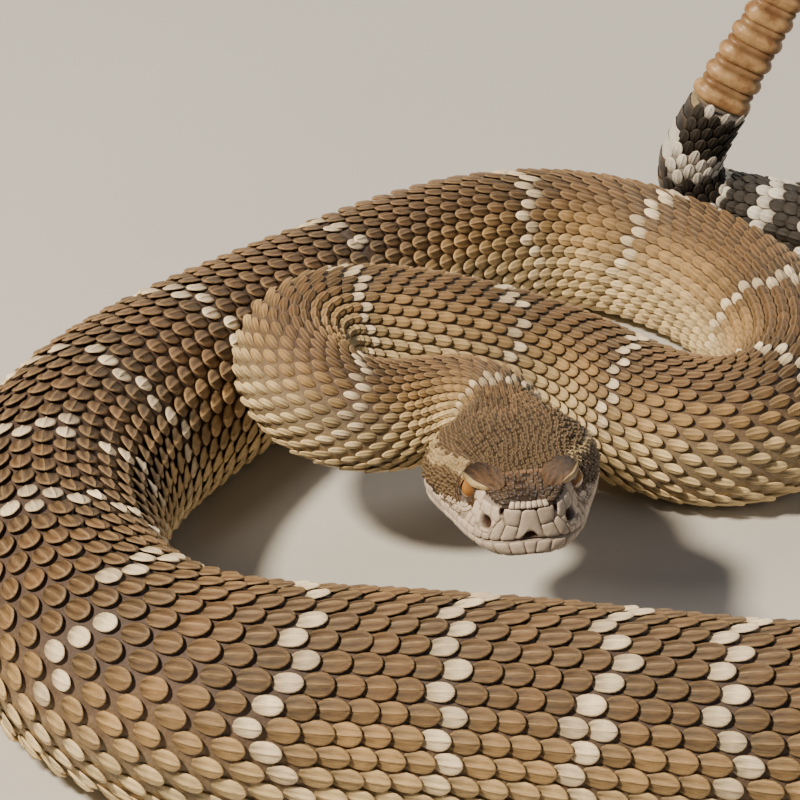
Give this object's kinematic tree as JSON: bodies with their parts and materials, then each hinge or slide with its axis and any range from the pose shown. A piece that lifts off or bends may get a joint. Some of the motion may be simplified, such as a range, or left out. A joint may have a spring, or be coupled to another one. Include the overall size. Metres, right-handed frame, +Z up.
{
  "type": "western diamondback rattlesnake model",
  "caption": "Life-size still model of a rattlesnake resting in a loose coil, head raised on an S-bent neck, rattle held up.",
  "frame": {"origin": "on the floor under the middle of the model's box", "axes": "+Z up; the snout points to -Y; the rattle stands at the back, on the +X side of the head"},
  "size_m": [0.2479, 0.2484, 0.0741],
  "materials": {
    "skin": "dry keeled scales, brown with narrow cream crossbars",
    "tail_skin": "dry scales in black and white rings",
    "eye": "wet gloss, orange brown iris with an upright pupil",
    "rattle": "dry horn, satin"
  },
  "bodies": {
    "root": {"head": "skin", "eye_left": "eye", "eye_right": "eye", "neck": "skin", "neck_loop": "skin", "body_1": "skin", "body_2": "skin", "body_3": "skin", "body_4": "skin", "body_5": "skin", "body_6": "skin", "body_7": "skin", "body_8": "skin", "body_9": "skin", "body_10": "skin", "tail": "tail_skin", "rattle": "rattle"}
  },
  "joints": []
}
